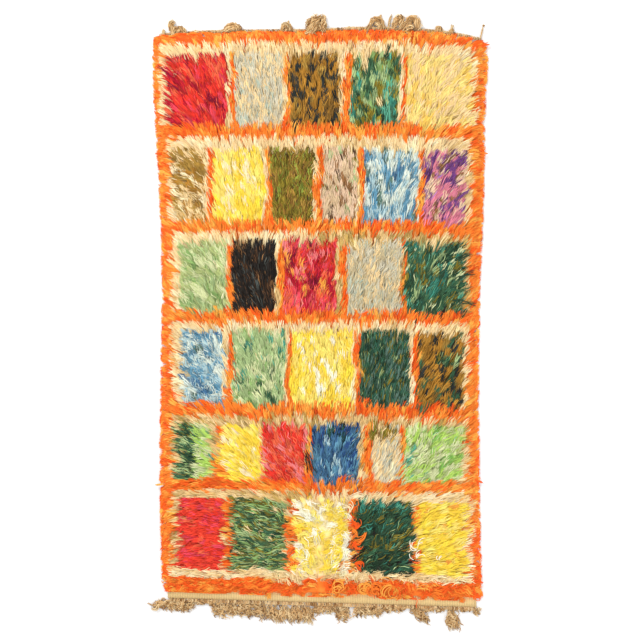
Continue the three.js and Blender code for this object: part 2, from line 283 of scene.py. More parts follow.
# Rows of blocks from the upper end: heights, sides and yarns of the edging, and each block's mix and sides
ROWS = [
    # edging is where it starts, and its yarns are for the left and right half
    dict(edging=856, top=821, foot=604, sides=(-497, 485), yarns=("ecru", "ecru"), blocks=[
        ("crimson", -478, -288), ("silver", -260, -115), ("umber", -92, 60),
        ("moss", 92, 244), ("straw", 268, 476)]),
    dict(edging=566, top=529, foot=312, sides=(-468, 468), yarns=("ecru", "ecru"), blocks=[
        ("khaki", -459, -349), ("gold", -328, -172), ("olive", -148, -22),
        ("beige", 6, 112), ("blue", 136, 299), ("plum", 318, 444)]),
    dict(edging=276, top=250, foot=38, sides=(-458, 466), yarns=("ecru", "drab"), blocks=[
        ("mint", -432, -288), ("coal", -268, -134), ("rose", -108, 50),
        ("ash", 82, 246), ("pine", 260, 452)]),
    dict(edging=3, top=-24, foot=-245, sides=(-458, 458), yarns=("ecru", "ecru"), blocks=[
        ("sky", -430, -299), ("sage", -268, -104), ("sun", -86, 97),
        ("spruce", 124, 276), ("bark", 306, 436)]),
    dict(edging=-284, top=-310, foot=-480, sides=(-458, 456), yarns=("tan", "tan"), blocks=[
        ("fern", -447, -392), ("spring", -392, -338), ("gold", -310, -186), ("coral", -180, -46),
        ("navy", -26, 122), ("pearl", 160, 246), ("lime", 260, 440)]),
    dict(edging=-514, top=-541, foot=-764, sides=(-458, 470), yarns=("tan", "ecru"), blocks=[
        ("scarlet", -438, -308), ("meadow", -278, -112), ("sunlit", -90, 88),
        ("ivy", 116, 286), ("yolk", 300, 455)]),
]

# Patches of other yarn: mix, left, right, top and foot
PATCHES = [
    ("ember", -510, 510, 960, 858),
    ("olive", 152, 244, -316, -346),
    ("tan", 152, 246, -346, -358),
    ("ink", -22, 92, -312, -350),
    ("lagoon", 122, 262, -541, -566),
    ("pink", -104, -60, 98, 42),
    ("fern", 356, 424, -92, -126),
]

# How the chart's lines wave, bow and sag, and where the deeper orange and the last edging lie
BORDER_WAVE = 6.5
BORDER_FRAY = 3.0
ROW_WAVE = 5.0
LAST_EDGING_FOOT = -790
BOW_FADES_AT = 480.0
SLOPE_FADES_AT = -480.0
DIVIDER_SHARE = 0.64
DIVIDER_WAVE = 0.42
EMBER_BELOW = -620.0
SAG = 12.0
SAG_POWER = 1.3
SAG_FROM = 60.0
SAG_WIDTH = 400.0
SAG_ALONG = [(-780, 0), (-580, 1), (320, 1), (560, 0)]

# Which mixes are made up together: each family is one piece of pile in each half of the rug
FAMILIES = {
    "pile_orange": ["orange", "ember"],
    "pile_cream": ["ecru", "tan", "drab"],
    "pile_yellow": ["straw", "gold", "sun", "sunlit", "khaki", "yolk"],
    "pile_green": ["moss", "olive", "mint", "pine", "sage", "spruce", "fern", "spring", "lime", "meadow",
                   "ivy", "lagoon"],
    "pile_red": ["crimson", "rose", "scarlet", "coral", "pink", "plum", "umber", "bark"],
    "pile_blue": ["blue", "sky", "navy", "ink", "silver", "ash", "pearl", "beige", "coal"],
}

# Upper fringe: a cord past the edge, and skeins of warp ends along bent lines
CORD_REACH = 15.0
SKEIN_YARNS = 3.2
SKEIN_SAMPLES = 61
SKEIN_SMOOTHING = 24
SKEIN_TWIST = (2, 9)
SKEIN_KINKS = (8, 24)
SKEINS = [
    # half width, line
    (3.2, [(-477, 863), (-478, 877), (-480, 892)]),
    (7, [(-445, 869), (-451, 883), (-457, 904), (-450, 914), (-444, 919)]),
    (4.5, [(-460, 872), (-444, 886), (-438, 900)]),
    (6, [(-412, 869), (-418, 886), (-428, 896), (-437, 882), (-428, 869)]),
    (4, [(-400, 872), (-390, 881), (-375, 883), (-360, 875)]),
    (7, [(-293, 874), (-289, 892), (-272, 903), (-252, 900), (-240, 878)]),
    (7, [(-284, 875), (-278, 889), (-262, 894), (-250, 878)]),
    (6.5, [(-114, 875), (-117, 894), (-107, 906), (-92, 902), (-87, 886), (-95, 875)]),
    (5, [(-107, 878), (-101, 892), (-88, 884)]),
    (2, [(-102, 900), (-98, 909), (-95, 919)]),
    (9, [(-36, 869), (-34, 898), (-28, 922)]),
    (12, [(-21, 869), (-17, 908), (-9, 938)]),
    (9, [(6, 869), (9, 904), (8, 940)]),
    (8, [(-40, 886), (-18, 903), (9, 889)]),
    (6, [(-38, 912), (-16, 924), (10, 915)]),
    (4, [(82, 878), (85, 894), (98, 891), (104, 878)]),
    (7, [(143, 878), (152, 900), (167, 924), (187, 921), (196, 878)]),
    (6.5, [(166, 908), (184, 903), (186, 878)]),
    (2, [(181, 915), (185, 927), (187, 938)]),
    (2, [(206, 878), (210, 900), (213, 921), (221, 939)]),
    (8, [(217, 878), (226, 900), (238, 927), (251, 929), (250, 900), (244, 878)]),
    (10, [(253, 878), (262, 900), (278, 924), (297, 924), (300, 897), (293, 875)]),
    (9.5, [(262, 875), (276, 894), (288, 904)]),
    (4, [(357, 869), (356, 894), (363, 899), (370, 894), (369, 869)]),
    (3, [(353, 884), (363, 888), (374, 884)]),
    (3, [(353, 875), (363, 878), (374, 875)]),
    (5, [(384, 868), (398, 880), (410, 892)]),
    (3, [(399, 863), (403, 884), (406, 908)]),
    (1.1, [(490, 845), (493, 869), (500, 906)]),
    (1.6, [(498, 898), (502, 902), (499, 905)]),
]

# Lower fringe: bunches of strands along stretches of the edge
LOWER_BUNCHES = [
    # start, stop, strands, reach, sideways splay
    (-464, -446, 3, 22, -46),
    (-470, -388, 11, 35, 0),
    (-374, -330, 6, 12, 0),
    (-326, -178, 18, 50, 0),
    (-180, -26, 18, 50, 4),
    (-16, 6, 4, 35, 6),
    (16, 54, 5, 26, 0),
    (56, 84, 5, 52, 0),
    (110, 184, 9, 34, 0),
    (194, 258, 8, 18, 0),
    (268, 292, 4, 40, 46),
    (318, 374, 7, 13, 0),
    (386, 404, 5, 55, 16),
    (436, 458, 4, 9, 0),
    (466, 474, 2, 20, 14),
]
LONG_BUNCH = 53
SHORT_BUNCH_CRIMP = (60, 140)
LONG_BUNCH_CRIMP = (30, 85)
SHORT_BUNCH_FAN = 26
LONG_BUNCH_FAN = 12
ROOTS_OUT = 2.3
ROOTS_SPREAD = 0.55
EXTRA_LENGTH = [(10, 11), (30, 14)]
ENDS_IN_STRAND = 11

# Both fringes: how their tone and thickness vary, and the painted shade by height that darkens their low
# yarns and lightens their high ones
FRINGE_TONE = 0.1
FRINGE_WIDTHS = (0.75, 1.35)
FRINGE_HEIGHT_SHADE = [(2, 0.9), (10, 1.14)]

# Loose yarns and edge knots: sizes in millimetres, steps along a yarn and its taper
YARN_RADIUS = 1.7
LOOSE_RADIUS = 1.3
FLOOR_GAP = 2.5
KNOT_PITCH = 3.6
KNOT_WIDE = 2.4
KNOT_DEEP = 4.5
KNOT_HIGH = 2.6
YARN_STEPS = np.linspace(0, 1, 9)
YARN_TAPER = np.array([0.9, 1, 1, 1, 1, 1, 0.95, 0.8, 0])

# Each yarn has a cell of its piece's map: how much taller than wide, and its margin
MAP_CELL_SHAPE = 2.4
MAP_MARGIN = 0.08

# Loose pile ends that hang over the bare strip
STRAY_CRIMP = (25, 75)
STRAY_FAN = 15.0
STRAYS = [
    # place, yarn, ends, reach
    (-158, "amber", 9, 24),
    (-94, "orange", 3, 22),
    (168, "flame", 2, 14),
    (200, "orange", 2, 16),
    (291, "flame", 1, 36),
    (433, "orange", 9, 20),
]

# Loose ends lying on the pile, pointing some way in degrees
HAIR_CRIMP = (8, 22)
HAIR_FAN = 7.0
HAIRS = [
    # start, way, reach, yarn, ends
    ((414, 180), 28, 56, "bottle", 4),
    ((420, 130), 20, 58, "bottle", 4),
    ((404, 60), -6, 84, "bottle", 3),
    ((410, 92), 8, 60, "forest", 3),
    ((384, 40), -118, 44, "black", 3),
    ((420, 368), 30, 58, "plum", 4),
    ((400, 440), 62, 48, "plum", 3),
    ((204, 800), 80, 44, "bottle", 4),
    ((-455, 742), 146, 56, "wine", 3),
    ((-430, 700), 150, 52, "wine", 3),
    ((-42, -402), -76, 78, "black", 5),
    ((-320, -426), 136, 32, "teal", 2),
    ((-484, 506), 175, 18, "flame", 7),
    ((489, 506), -5, 20, "orange", 7),
    ((-481, -500), 184, 20, "amber", 7),
    ((476, -490), -12, 21, "flame", 7),
    ((480, -796), -30, 20, "flame", 4),
    ((478, -758), 12, 16, "flame", 5),
    ((495, 836), 16, 22, "flame", 8),
    ((-488, 856), 152, 20, "orange", 8),
]

# Curls lying on the pile, with their turn in radians, and the pile's height there
PILE_TOP = 27.0
CURLS = [
    # middle, yarn, ends, size, turn
    ((107, -624), "flame", 15, 6, 2.8),
    ((126, -664), "orange", 9, 8, 1.4),
    ((110, -687), "flame", 14, 6, 2.6),
    ((118, -747), "flame", 15, 6, 2.8),
    ((288, -687), "white", 6, 7, 2.4),
    ((297, -714), "white", 5, 6, 2.4),
    ((363, -722), "white", 4, 3, 3),
    ((88, -572), "cream", 6, 7, 3),
    ((28, -812), "flame", 8, 11, 5.5),
    ((54, -816), "amber", 9, 13, 5.5),
    ((96, -818), "flame", 8, 10, 5),
    ((138, -816), "amber", 10, 14, 5.5),
    ((168, -818), "orange", 9, 13, 5.5),
    ((204, -820), "amber", 7, 12, 3),
    ((246, -822), "flame", 7, 11, 2.5),
]


def along(line, place):
    """The value at each place on a line given as pairs of place and value."""
    return np.interp(place, *np.array(line).T)


def left_edge(y):
    return along([row[:2] for row in SIDE_EDGES], y)


def right_edge(y):
    return along([row[::2] for row in SIDE_EDGES], y)


def upper_edge(x):
    drop = np.where(x < 0, UPPER_DROP_LEFT, UPPER_DROP_RIGHT)
    return UPPER_EDGE - drop * (x / HALF_WIDTH) ** UPPER_BOW_POWER


def lower_edge(x):
    return LOWER_EDGE + LOWER_SLOPE * x


def noise(x, y, size, seed):
    """Smooth noise from -1 to 1 with lumps of the given size."""
    gx, gy = x / size, y / size
    ix, iy = np.floor(gx), np.floor(gy)
    fx, fy = gx - ix, gy - iy
    fx, fy = fx * fx * (3 - 2 * fx), fy * fy * (3 - 2 * fy)

    def corner(i, j):
        wave = np.sin(i * 127.1 + j * 311.7 + seed * 74.7) * 43758.5453
        return 2 * (wave - np.floor(wave)) - 1

    low = corner(ix, iy) * (1 - fx) + corner(ix + 1, iy) * fx
    high = corner(ix, iy + 1) * (1 - fx) + corner(ix + 1, iy + 1) * fx
    return low * (1 - fy) + high * fy


def linear(code):
    """A yarn's colour code as linear light."""
    rgb = np.array([int(code[i:i + 2], 16) for i in (0, 2, 4)]) / 255
    return np.where(rgb <= 0.04045, rgb / 12.92, ((rgb + 0.055) / 1.055) ** 2.4)


MIX_NAMES = list(MIXES)
YARN_LIGHT = {name: linear(code) for name, code in YARNS.items()}
MIX_MEANS = np.array([sum(share * YARN_LIGHT[yarn] for yarn, share in mix.items()) for mix in MIXES.values()])


def chart(x, y):
    """The number of the mix knotted at each place of the rug."""
    x = x + BORDER_WAVE * noise(x, y, 50, 1) + BORDER_FRAY * noise(x, y, 20, 9)
    y = y + ROW_WAVE * noise(x, y, 70, 2)
    sag = SAG * np.clip((x - SAG_FROM) / SAG_WIDTH, 0, 1) ** SAG_POWER
    y = y + sag * along(SAG_ALONG, y)
    y = y + (UPPER_EDGE - upper_edge(x)) * np.clip((y - BOW_FADES_AT) / (UPPER_EDGE - BOW_FADES_AT), 0, 1)
    y = y - LOWER_SLOPE * x * np.clip((SLOPE_FADES_AT - y) / (SLOPE_FADES_AT - LOWER_EDGE), 0, 1)
    found = np.where(y < EMBER_BELOW, MIX_NAMES.index("ember"), MIX_NAMES.index("orange"))
    ground = found.copy()
    for row in ROWS:
        inside = (x > row["sides"][0]) & (x < row["sides"][1])
        foot = LAST_EDGING_FOOT if row is ROWS[-1] else row["foot"]
        field = inside & (y < row["edging"]) & (y > foot)
        for half, name in zip((x < 0, x >= 0), row["yarns"]):
            found[field & half] = MIX_NAMES.index(name)
        found[field & (y < ROWS[-1]["foot"])] = MIX_NAMES.index("ecru")
        height = inside & (y < row["top"]) & (y > row["foot"])
        for name, left, right in row["blocks"]:
            found[height & (x > left) & (x < right)] = MIX_NAMES.index(name)
        for (_, _, left), (_, right, _) in zip(row["blocks"], row["blocks"][1:]):
            share = DIVIDER_SHARE + DIVIDER_WAVE * noise(left + 0 * y, y, 42, 13)
            bar = left + (right - left) * (1 - share)
            found = np.where(height & (x >= bar) & (x <= right), ground, found)
    for name, left, right, top, foot in PATCHES:
        found[(x > left) & (x < right) & (y < top) & (y > foot)] = MIX_NAMES.index(name)
    return found


def pick_yarns(mix, draw=None):
    """One yarn colour for each place, drawn from its mix."""
    light = np.zeros(mix.shape + (3,))
    draw = rng.random(mix.shape) if draw is None else draw
    for number, name in enumerate(MIX_NAMES):
        here = mix == number
        shares = np.cumsum(list(MIXES[name].values()))
        which = np.minimum(np.searchsorted(shares, draw[here]), len(shares) - 1)
        light[here] = np.array([YARN_LIGHT[yarn] for yarn in MIXES[name]])[which]
    return light


def make_piece(name, points, faces, tint, spots):
    """A mesh piece from arrays: points in millimetres, triangles, a colour for each point and a map place for
    each corner."""
    mesh = bpy.data.meshes.new(name)
    mesh.vertices.add(len(points))
    mesh.vertices.foreach_set("co", (points * MM).ravel())
    mesh.loops.add(faces.size)
    mesh.loops.foreach_set("vertex_index", faces.ravel())
    mesh.polygons.add(len(faces))
    mesh.polygons.foreach_set("loop_start", np.arange(0, faces.size, 3))
    mesh.polygons.foreach_set("use_smooth", np.ones(len(faces), bool))
    colour = np.concatenate([tint, np.ones((len(tint), 1))], axis=1)
    mesh.color_attributes.new("yarn", "FLOAT_COLOR", "POINT").data.foreach_set("color", colour.ravel())
    mesh.uv_layers.new(name="OFBake").data.foreach_set("uv", spots.ravel())
    mesh.update(calc_edges=True)
    piece = bpy.data.objects.new(name, mesh)
    bpy.context.collection.objects.link(piece)
    return piece


def yarn_faces(rings, sides, closed):
    """Triangles of one tapered yarn with a single tip as its last ring, and their places on its map."""
    size = (rings - 1) * sides + 1
    spans = sides if closed else sides - 1
    triangles, places = [], []
    for k in range(rings - 2):
        for j in range(spans):
            n = (j + 1) % sides
            a, b, c, d = k * sides + j, k * sides + n, (k + 1) * sides + n, (k + 1) * sides + j
            triangles += [(a, b, c), (a, c, d)]
            places += [((k, j), (k, j + 1), (k + 1, j + 1)), ((k, j), (k + 1, j + 1), (k + 1, j))]
    last = (rings - 2) * sides
    for j in range(spans):
        triangles.append((last + j, last + (j + 1) % sides, size - 1))
        places.append(((rings - 2, j), (rings - 2, j + 1), (rings - 1, j + 0.5)))
    places = np.array(places, float).reshape(-1, 2) / (rings - 1, spans)
    return np.array(triangles), places


def yarn_piece(name, paths, radii, light, angles, closed=True):
    """One piece of many yarns. paths is yarns by rings by 3 in millimetres, light the same as colours, and
    angles place a ring's corners."""
    count, rings = paths.shape[:2]
    sides = angles.shape[1]
    onward = np.gradient(paths, axis=1)
    onward /= np.linalg.norm(onward, axis=2, keepdims=True) + 1e-9
    beside = np.cross(onward, (0.0, 0.0, 1.0))
    beside /= np.linalg.norm(beside, axis=2, keepdims=True) + 1e-6
    above = np.cross(beside, onward)
    across = np.cos(angles)[:, None, :, None] * beside[:, :-1, None, :]
    upward = np.sin(angles)[:, None, :, None] * above[:, :-1, None, :]
    hoops = paths[:, :-1, None, :] + radii[:, :-1, None, None] * (across + upward)
    points = np.concatenate([hoops.reshape(count, -1, 3), paths[:, -1:, :]], axis=1)
    size = points.shape[1]
    triangles, places = yarn_faces(rings, sides, closed)
    faces = (triangles[None] + size * np.arange(count)[:, None, None]).reshape(-1, 3)
    tint = np.empty((count, size, 3))
    tint[:, :-1] = np.repeat(light[:, :-1], sides, axis=1)
    tint[:, -1] = light[:, -1]
    columns = int(np.ceil(np.sqrt(count / MAP_CELL_SHAPE)))
    lines = int(np.ceil(count / columns))
    cell = np.array([1 / columns, 1 / lines])
    corner = np.stack([np.arange(count) % columns, np.arange(count) // columns], axis=1) * cell
    spots = corner[:, None, :] + (MAP_MARGIN + (1 - 2 * MAP_MARGIN) * places)[None] * cell
    return make_piece(name, points.reshape(-1, 3), faces, tint.reshape(-1, 3), spots.reshape(-1, 2))


def lean(x, y):
    """The way the nap lies at a place, and how calm it is there, from 0 at the parting to 1."""
    dx, dy = x - PARTING[0], y - PARTING[1]
    calm = 1 - np.exp(-(dx ** 2 + dy ** 2) / PARTING_SIZE ** 2)
    height, left, right, left_power, right_power = np.array(SIDE_LEAN).T
    side = np.where(x < 0, np.interp(y, height, left), np.interp(y, height, right))
    power = np.where(x < 0, np.interp(y, height, left_power), np.interp(y, height, right_power))
    out = np.abs(x) / HALF_WIDTH
    at_rim = np.clip((out - RIM_LEAN_FROM) / RIM_LEAN_OVER, 0, 1)
    below_top = np.clip((RIM_LEAN_TOP - y) / RIM_LEAN_FADE, 0, 1)
    off = side * out ** power + RIM_LEAN * at_rim * below_top
    heading = np.radians(90 - np.sign(x) * np.minimum(off, MOST_LEAN))
    heading = heading + np.radians(NAP_SWAY) * noise(x, y, 95, 3)
    return heading + np.radians(NAP_RIPPLE) * noise(x, y, 40, 4), calm


def rim_rise(x, y):
    """The share of its full height that the pile has near the rim, and how far the place is from a side."""
    to_side = np.minimum(x - left_edge(y), right_edge(y) - x)
    to_end = np.minimum(y - lower_edge(x), upper_edge(x) - y)
    inset = np.clip(np.minimum(to_side, to_end) / RIM_ROUNDING, 0, 1)
    return RIM_SHARE + (1 - RIM_SHARE) * np.sqrt(1 - (1 - inset) ** 2), to_side


def settle(points, overhang):
    """Lays strands down over the rim, and lets their tips reach only a little past the edges."""
    x, y, z = points[..., 0], points[..., 1], points[..., 2]

    def hold(out, most):
        return np.where(out > 0, most * (1 - np.exp(-np.maximum(out, 0) / most)), out)

    upper_reach = along(UPPER_REACH, x) + UPPER_REACH_WAVE * noise(x, 0 * x, 24, 12)
    y = upper_edge(x) + hold(y - upper_edge(x), overhang * upper_reach)
    y = lower_edge(x) - hold(lower_edge(x) - y, overhang * along(LOWER_REACH, x))
    x = right_edge(y) + hold(x - right_edge(y), overhang)
    x = left_edge(y) - hold(left_edge(y) - x, overhang)
    rise, to_side = rim_rise(x, y)
    rise = rise * np.clip(1 + np.minimum(to_side, 0) / DROOP_OVER, 0.2, 1)
    base = np.where(to_side < 0, BASE_LEVEL * np.clip(1 + to_side / BASE_DROP_OVER, 0.4, 1), BASE_LEVEL)
    return np.stack([x, y, base + z * rise], axis=-1)


def lay_locks():
    """Roots, nap and dye of every lock of the pile."""
    rows = np.arange(*FIELD_Y, ROW_PITCH)
    columns = np.arange(*FIELD_X, LOCK_PITCH)
    x, y = np.meshgrid(columns, rows)
    x = x + LOCK_PITCH * 0.5 * (np.arange(len(rows)) % 2)[:, None] + rng.normal(0, LOCK_JITTER, x.shape)
    y = y + rng.normal(0, ROW_JITTER, y.shape)
    heading, calm = lean(x, y)
    even = (GOLDEN * np.arange(len(columns)) + ROW_SHIFT * np.arange(len(rows))[:, None]) % 1
    bars = (np.arange(len(columns)) + np.arange(len(rows))[:, None] // 2) % 2 == 0
    dye = (even + DYE_CHANCE * rng.random(x.shape)) % 1
    for row in range(1, len(rows)):
        shift = ROW_PITCH / np.tan(np.clip(heading[row], 0.4, 2.74))
        below = np.rint((x[row] - shift - columns[0]) / LOCK_PITCH).astype(int).clip(0, len(columns) - 1)
        runs_on = rng.random(len(columns)) < DYE_RUN
        for values in (dye, even):
            values[row, runs_on] = values[row - 1, below[runs_on]]
    keep = (x > left_edge(y) + ROOT_INSET) & (x < right_edge(y) - ROOT_INSET)
    keep &= (y > lower_edge(x) + LOWER_INSET) & (y < upper_edge(x) - ROOT_INSET)
    kept = (values[keep] for values in (x, y, heading, calm, dye, even, bars))
    x, y, heading, calm, dye, even, bars = kept
    count = len(x)
    heading = heading + rng.normal(0, 1, count) * np.radians(LOCK_SWAY + PARTING_SWAY * (1 - calm))
    curl = rng.normal(0, 1, count) * np.radians(LOCK_CURL + PARTING_CURL * (1 - calm))
    loops = (y < LAST_EDGING_FOOT) & (np.abs(x - LOOPS_AT) < LOOPS_REACH)
    curl = np.where(loops, LOOP_TURN * rng.choice([-1, 1], count), curl)
    length = STRAND_LENGTH * (1 + LENGTH_VARIES * rng.normal(0, 1, count)).clip(*LENGTH_LIMITS)
    hangs = (y < lower_edge(x) + HANG_ROWS) & (x > HANG_FROM)
    heading = np.where(hangs, np.radians(-90) + np.radians(HANG_SPREAD) * rng.normal(0, 1, count), heading)
    curl = np.where(hangs, rng.normal(0, 1, count), curl)
    length = np.where(hangs, HANG_SHARE * length, length)
    mix = chart(x + NEAR_TIP * length * np.cos(heading), y + NEAR_TIP * length * np.sin(heading))
    barred = np.where(bars & (even < BAR_CHANCE), BAR_DRAW, UNBARRED_SHARE * dye)
    dye = np.where(np.isin(mix, [MIX_NAMES.index(name) for name in EVEN_DYED]), even, dye)
    dye = np.where(mix == MIX_NAMES.index(BARRED_MIX), barred, dye)
    crimps = np.radians([CRIMPED.get(name, PLAIN_CRIMP) for name in MIX_NAMES])
    crimp = crimps[mix] + PARTING_CRIMP * (1 - calm)
    crimp = crimp * rng.uniform(*CRIMP_VARIES, count) + np.where(y < LAST_EDGING_FOOT, SWIRL, 0)
    return dict(x=x, y=y, heading=heading, calm=calm, curl=curl, length=length, dye=dye, crimp=crimp)


def lay_strands(locks):
    """Every strand of the pile: paths, radii, colours and the mix each belongs to."""
    count = len(locks["x"])
    lock = np.repeat(np.arange(count), STRANDS_IN_LOCK)
    n = len(lock)
    spin, off = rng.random(n) * 2 * np.pi, LOCK_SPREAD * np.sqrt(rng.random(n))
    stray = rng.random(n) < STRAY_SHARE
    splay = np.radians(np.where(stray, STRAY_SPLAY, STRAND_SPLAY))
    heading = locks["heading"][lock] + rng.normal(0, 1, n) * splay
    length = locks["length"][lock] * rng.uniform(*STRAND_LENGTHS, n)
    calm = locks["calm"][lock]
    rise = np.radians(ROOT_RISE + ROOT_VARIES * rng.normal(0, 1, n) + 2 * (1 - calm))
    fall = TIP_RISE + TIP_VARIES * rng.normal(0, 1, n) + np.where(stray, STRAY_RISE, 0)
    fall = np.radians(fall - 4 * (1 - calm))
    curl = locks["curl"][lock] + np.radians(CURL_VARIES) * rng.normal(0, 1, n)
    crimp = locks["crimp"][lock] * rng.uniform(*STRAND_CRIMPS, n)
    phase = rng.random(count)[lock] * 2 * np.pi + rng.normal(0, 0.5, n)
    pulse = rng.uniform(*PULSES, count)[lock]
    paths = np.zeros((n, len(STRAND_STEPS), 3))
    paths[:, 0, 0], paths[:, 0, 1] = locks["x"][lock], locks["y"][lock]
    lift = rng.uniform(0, 2, count)[lock] + SWELL * noise(locks["x"], locks["y"], 55, 6)[lock]
    paths[:, 0, 2] = BED_HEIGHT - ROOT_DEPTH + lift + rng.uniform(0, 2.5, n)
    for k in range(1, len(STRAND_STEPS)):
        middle = (STRAND_STEPS[k - 1] + STRAND_STEPS[k]) / 2
        step = length * (STRAND_STEPS[k] - STRAND_STEPS[k - 1])
        up = rise + (fall - rise) * middle ** 0.8
        way = heading + curl * (middle - 0.3) + crimp * np.sin(pulse * middle + phase)
        paths[:, k, 0] = paths[:, k - 1, 0] + step * np.cos(up) * np.cos(way)
        paths[:, k, 1] = paths[:, k - 1, 1] + step * np.cos(up) * np.sin(way)
        paths[:, k, 2] = paths[:, k - 1, 2] + step * np.sin(up)
    draw_in = 1 - TIP_DRAWN_IN * STRAND_STEPS ** 1.3
    paths[..., 0] += (off * np.cos(spin))[:, None] * draw_in
    paths[..., 1] += (off * np.sin(spin))[:, None] * draw_in
    ragged = (along(RAGGED, locks["y"]) * rng.normal(0, 1, count))[lock]
    end_x, end_y = paths[:, -2:, :2].mean(axis=1).T
    mix = chart(end_x - ragged * np.cos(heading), end_y - ragged * np.sin(heading))
    paths = settle(paths, rng.uniform(*OVERHANG, n)[:, None])
    radii = STRAND_RADIUS * rng.uniform(*STRAND_WIDTHS, n)[:, None] * STRAND_TAPER
    own = pick_yarns(mix, locks["dye"][lock])
    other = pick_yarns(mix)
    flecks = np.array([FLECKED.get(name, PLAIN_FLECKS) for name in MIX_NAMES])[mix]
    light = np.where((rng.random(n) < flecks)[:, None], other, own)
    spread = along(TONE_SPREAD, light.mean(axis=1))
    tone = 1 + spread * (rng.normal(0, 1, count)[lock] + rng.normal(0, 1, n))
    light = (light * tone.clip(*TONE_LIMITS)[:, None]).clip(*LIGHT_LIMITS)
    return paths, radii, light, mix


def plan_grid(columns, rows):
    """A grid over the rug: shares across, places across in millimetres, and shares along it."""
    u, v = np.meshgrid(np.linspace(0, 1, columns + 1), np.linspace(0, 1, rows + 1))
    level = LOWER_EDGE + (UPPER_EDGE - LOWER_EDGE) * v
    return u, left_edge(level) + (right_edge(level) - left_edge(level)) * u, v


def grid_faces(columns, rows):
    """Triangles of a grid, and the numbers of the points around its rim."""
    row = columns + 1
    a = (np.arange(rows)[:, None] * row + np.arange(columns)[None, :]).ravel()
    faces = np.concatenate([np.stack([a, a + 1, a + row + 1], 1), np.stack([a, a + row + 1, a + row], 1)])
    rim = np.concatenate([np.arange(columns), np.arange(rows) * row + columns,
                          rows * row + np.arange(columns, 0, -1), np.arange(rows, 0, -1) * row])
    return faces, rim


def pile_bed():
    """The dense lower part of the pile, in the colours of the chart, lumpy above and flat below."""
    columns = int(2 * HALF_WIDTH / BED_STEP)
    rows = int((UPPER_EDGE - LOWER_EDGE) / BED_STEP)
    _, x, foot_to_top = plan_grid(columns, rows)
    y = lower_edge(x) + BED_INSET + (upper_edge(x) - lower_edge(x) - BED_INSET) * foot_to_top
    rise, _ = rim_rise(x, y)
    height = BED_HEIGHT + BED_LUMPS * (0.6 * noise(x, y, 34, 7) + 0.4 * noise(x, y, 14, 8))
    top = np.stack([x, y, BASE_LEVEL + height * rise], axis=-1).reshape(-1, 3)
    mix = chart(x, y).ravel()
    light = (1 - BED_BLEND) * pick_yarns(mix) + BED_BLEND * MIX_MEANS[mix]
    lumps, rim = grid_faces(columns, rows)
    foot = len(top)
    low = top[rim].copy()
    low[:, 2] = BASE_LEVEL
    middle = foot + len(rim)
    points = np.concatenate([top, low, [[0.0, 0.0, BASE_LEVEL]]])
    k = np.arange(len(rim))
    n = (k + 1) % len(rim)
    wall = [np.stack([rim, foot + k, foot + n], 1), np.stack([rim, foot + n, rim[n]], 1)]
    under = np.stack([foot + k, np.full_like(k, middle), foot + n], 1)
    faces = np.concatenate([lumps, *wall, under])
    tint = np.concatenate([light, light[rim], light[:1]])
    flat = (points[:, :2] / BED_MAP + 0.5)[faces]
    flat[-len(under):] *= HIDDEN_MAP_SHARE
    return make_piece("pile_bed", points, faces, tint, flat.reshape(-1, 2))


def ground_weave():
    """The flat woven cloth, with the backs of the knots showing in colour on its underside."""
    u, x, v = plan_grid(*WEAVE_GRID)
    foot = lower_edge(x) - BARE_END
    y = foot + (upper_edge(x) - foot) * v
    plain = YARN_LIGHT["linen"]
    knots = pick_yarns(chart(x, y).ravel())
    bare = (y < lower_edge(x)).ravel()[:, None]
    sides, tints = [], []
    for height, share in ((WEAVE_THICKNESS, 0.0), (0.0, KNOTS_SHOW)):
        sides.append(np.stack([x, y, np.full_like(x, height)], axis=-1).reshape(-1, 3))
        tints.append(np.where(bare, plain, plain * (1 - share) + knots * share))
    top, rim = grid_faces(*WEAVE_GRID)
    under = len(sides[0])
    after = np.roll(rim, -1)
    wall = np.concatenate([np.stack([rim, rim + under, after + under], 1),
                           np.stack([rim, after + under, after], 1)])
    points = np.concatenate(sides)
    faces = np.concatenate([top, top[:, ::-1] + under, wall])
    flat = np.stack([u, v], axis=-1).reshape(-1, 2) * WEAVE_MAP
    flat = np.concatenate([flat, flat + UNDER_MAP])[faces]
    flat[-len(wall):] = EDGE_MAP
    return make_piece("ground_weave_cloth", points, faces, np.concatenate(tints), flat.reshape(-1, 2))


def corners(count, sides):
    """Where the corners of each yarn's rings lie, turned at random."""
    return rng.random((count, 1)) * 2 * np.pi + 2 * np.pi * np.arange(sides) / sides


def wavy_ends(x, y, heading, length, height, crimp):
    """Crimped loose yarn ends lying on a floor; crimp is the range of their bends in degrees."""
    n = len(x)
    crimp = np.radians(rng.uniform(*crimp, n))
    waves, start = rng.uniform(1.0, 2.6, n), rng.random(n) * 2 * np.pi
    paths = np.zeros((n, len(YARN_STEPS), 3))
    paths[:, 0, 0], paths[:, 0, 1] = x, y
    for k in range(1, len(YARN_STEPS)):
        middle = (YARN_STEPS[k - 1] + YARN_STEPS[k]) / 2
        way = heading + crimp * np.sin(2 * np.pi * waves * middle + start)
        step = length * (YARN_STEPS[k] - YARN_STEPS[k - 1])
        paths[:, k, 0] = paths[:, k - 1, 0] + step * np.cos(way)
        paths[:, k, 1] = paths[:, k - 1, 1] + step * np.sin(way)
    arch = np.sin(np.pi * (0.15 + 0.75 * YARN_STEPS))
    lift = height[:, None] * arch + rng.uniform(-1, 1, (n, len(YARN_STEPS)))
    paths[..., 2] = np.maximum(lift, FLOOR_GAP)
    return paths


